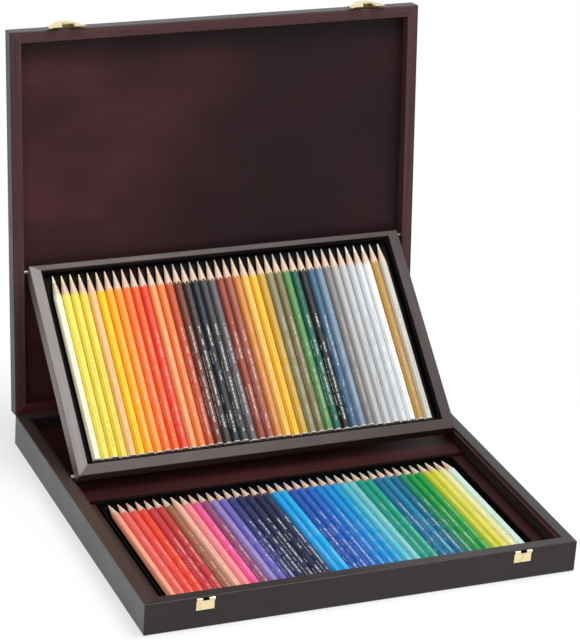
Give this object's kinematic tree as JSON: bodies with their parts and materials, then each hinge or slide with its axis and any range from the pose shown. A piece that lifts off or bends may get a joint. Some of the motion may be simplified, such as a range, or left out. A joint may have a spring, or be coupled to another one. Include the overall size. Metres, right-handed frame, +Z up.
{
  "type": "two-tier pencil case",
  "caption": "Stained wooden pencil case, open: a hinged lid lifts a tilting upper pencil tray over a fixed lower tray; rows of coloured pencils, brass latches.",
  "frame": {"origin": "centre of the base's underside, where the case rests", "axes": "+Z up, +Y from the latches to the hinges, +X to the right seen from the latches; the lid stands open towards +Y"},
  "size_m": [0.38, 0.4014, 0.3751],
  "materials": {
    "case_wood": "satin",
    "panel_wood": "satin",
    "inner_wood": "satin",
    "tray_wood": "satin",
    "black_tin": "satin",
    "brass": "polished",
    "bright_pin": "satin",
    "coloured_lead": "matte",
    "upper_paint_yellow": "gloss",
    "upper_paint_orange": "gloss",
    "upper_paint_brown": "gloss",
    "upper_paint_ochre": "gloss",
    "upper_paint_green": "gloss",
    "upper_paint_grey": "gloss",
    "upper_paint_white": "gloss",
    "lower_paint_red": "gloss",
    "lower_paint_pink": "gloss",
    "lower_paint_indigo": "gloss",
    "lower_paint_blue": "gloss",
    "lower_paint_turquoise": "gloss",
    "lower_paint_green": "gloss",
    "lower_paint_lime": "gloss"
  },
  "bodies": {
    "base": {"base_front_wall": "case_wood", "base_back_wall": "case_wood", "base_left_wall": "case_wood", "base_right_wall": "case_wood", "base_bottom_panel": "panel_wood", "left_runner": "inner_wood", "right_runner": "inner_wood", "left_packer": "inner_wood", "right_packer": "inner_wood", "deck_support_strips": "inner_wood", "rear_deck": "panel_wood", "lower_tin_bed": "inner_wood", "lower_tin": "black_tin", "hinge_base_leaves": "brass", "hinge_base_screws": "brass", "hinge_pins": "brass", "catches": "brass", "catch_pins": "brass", "lower_pencils_red": "lower_paint_red", "lower_pencils_pink": "lower_paint_pink", "lower_pencils_indigo": "lower_paint_indigo", "lower_pencils_blue": "lower_paint_blue", "lower_pencils_turquoise": "lower_paint_turquoise", "lower_pencils_green": "lower_paint_green", "lower_pencils_lime": "lower_paint_lime", "lower_leads": "coloured_lead"},
    "lid": {"lid_front_rail": "case_wood", "lid_back_rail": "case_wood", "lid_left_rail": "case_wood", "lid_right_rail": "case_wood", "lid_panel": "panel_wood", "hinge_lid_leaves": "brass", "hinge_lid_screws": "brass", "latch_plates": "brass", "latch_pins": "brass", "latch_screws": "brass"},
    "tray": {"tray_bottom_rail": "tray_wood", "tray_top_rail": "tray_wood", "tray_left_rail": "tray_wood", "tray_right_rail": "tray_wood", "tray_back_panel": "panel_wood", "upper_tin": "black_tin", "tray_upper_pins": "bright_pin", "tray_lower_pins": "bright_pin", "upper_pencils_yellow": "upper_paint_yellow", "upper_pencils_orange": "upper_paint_orange", "upper_pencils_brown": "upper_paint_brown", "upper_pencils_ochre": "upper_paint_ochre", "upper_pencils_green": "upper_paint_green", "upper_pencils_grey": "upper_paint_grey", "upper_pencils_white": "upper_paint_white", "upper_leads": "coloured_lead"},
    "left_latch": {"left_latch_lever": "brass"},
    "right_latch": {"right_latch_lever": "brass"}
  },
  "joints": [
    {"name": "lid_hinge", "type": "hinge", "parent": "base", "child": "lid", "pos_m": [0, 0.171, 0.0282], "axis": [1, 0, 0], "range_deg": [0, 97]},
    {"name": "tray_pivot", "type": "hinge", "parent": "lid", "child": "tray", "pos_m": [0, 0.19134, 0.15607], "axis": [1, 0, 0], "range_deg": [-137.11, 0]},
    {"name": "left_latch_pivot", "type": "hinge", "parent": "lid", "child": "left_latch", "pos_m": [-0.1395, 0.22129, 0.37052], "axis": [1, 0, 0], "range_deg": [-60, 4]},
    {"name": "right_latch_pivot", "type": "hinge", "parent": "lid", "child": "right_latch", "pos_m": [0.1395, 0.22129, 0.37052], "axis": [1, 0, 0], "range_deg": [-60, 4]}
  ],
  "couplings": [
    {"joint": "tray_pivot", "follows": "lid_hinge", "ratio": -1.4135}
  ]
}
